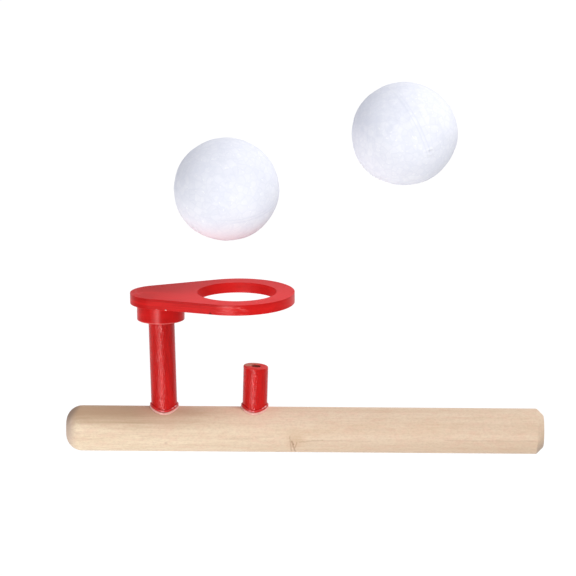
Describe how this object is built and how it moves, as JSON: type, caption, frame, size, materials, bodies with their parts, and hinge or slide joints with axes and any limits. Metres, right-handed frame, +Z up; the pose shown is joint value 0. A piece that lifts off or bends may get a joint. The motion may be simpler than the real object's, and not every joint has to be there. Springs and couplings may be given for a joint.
{
  "type": "blow ball pipe toy",
  "caption": "Wooden blow pipe with an upright side nozzle and a drop-shaped catch ring on a post, with foam balls that float on the player's breath.",
  "frame": {"origin": "on the pipe's axis at half its length, where the hand closes round it", "axes": "+X along the pipe towards the mouth end, +Z up towards the ring, +Y away from the picture's camera"},
  "size_m": [0.16, 0.0384, 0.1261],
  "materials": {
    "bare_wood": "satin",
    "red_paint": "gloss",
    "red_plastic": "satin",
    "pink_glue": "gloss",
    "white_foam": "matte"
  },
  "bodies": {
    "blow_pipe": {"pipe": "bare_wood", "ring_post": "red_paint", "air_nozzle": "red_paint", "catch_ring": "red_plastic", "post_glue_bead": "pink_glue", "nozzle_glue_bead": "pink_glue"},
    "left_ball": {"left_ball": "white_foam"},
    "right_ball": {"right_ball": "white_foam"}
  },
  "joints": [
    {"name": "left_ball_float", "type": "slide", "parent": "blow_pipe", "child": "left_ball", "axis": [-0.1491, 0, 0.9888], "range_m": [-0.02299, 0.06]},
    {"name": "right_ball_float", "type": "slide", "parent": "blow_pipe", "child": "right_ball", "axis": [0, 0, 1], "range_m": [-0.0756, 0.06]}
  ]
}
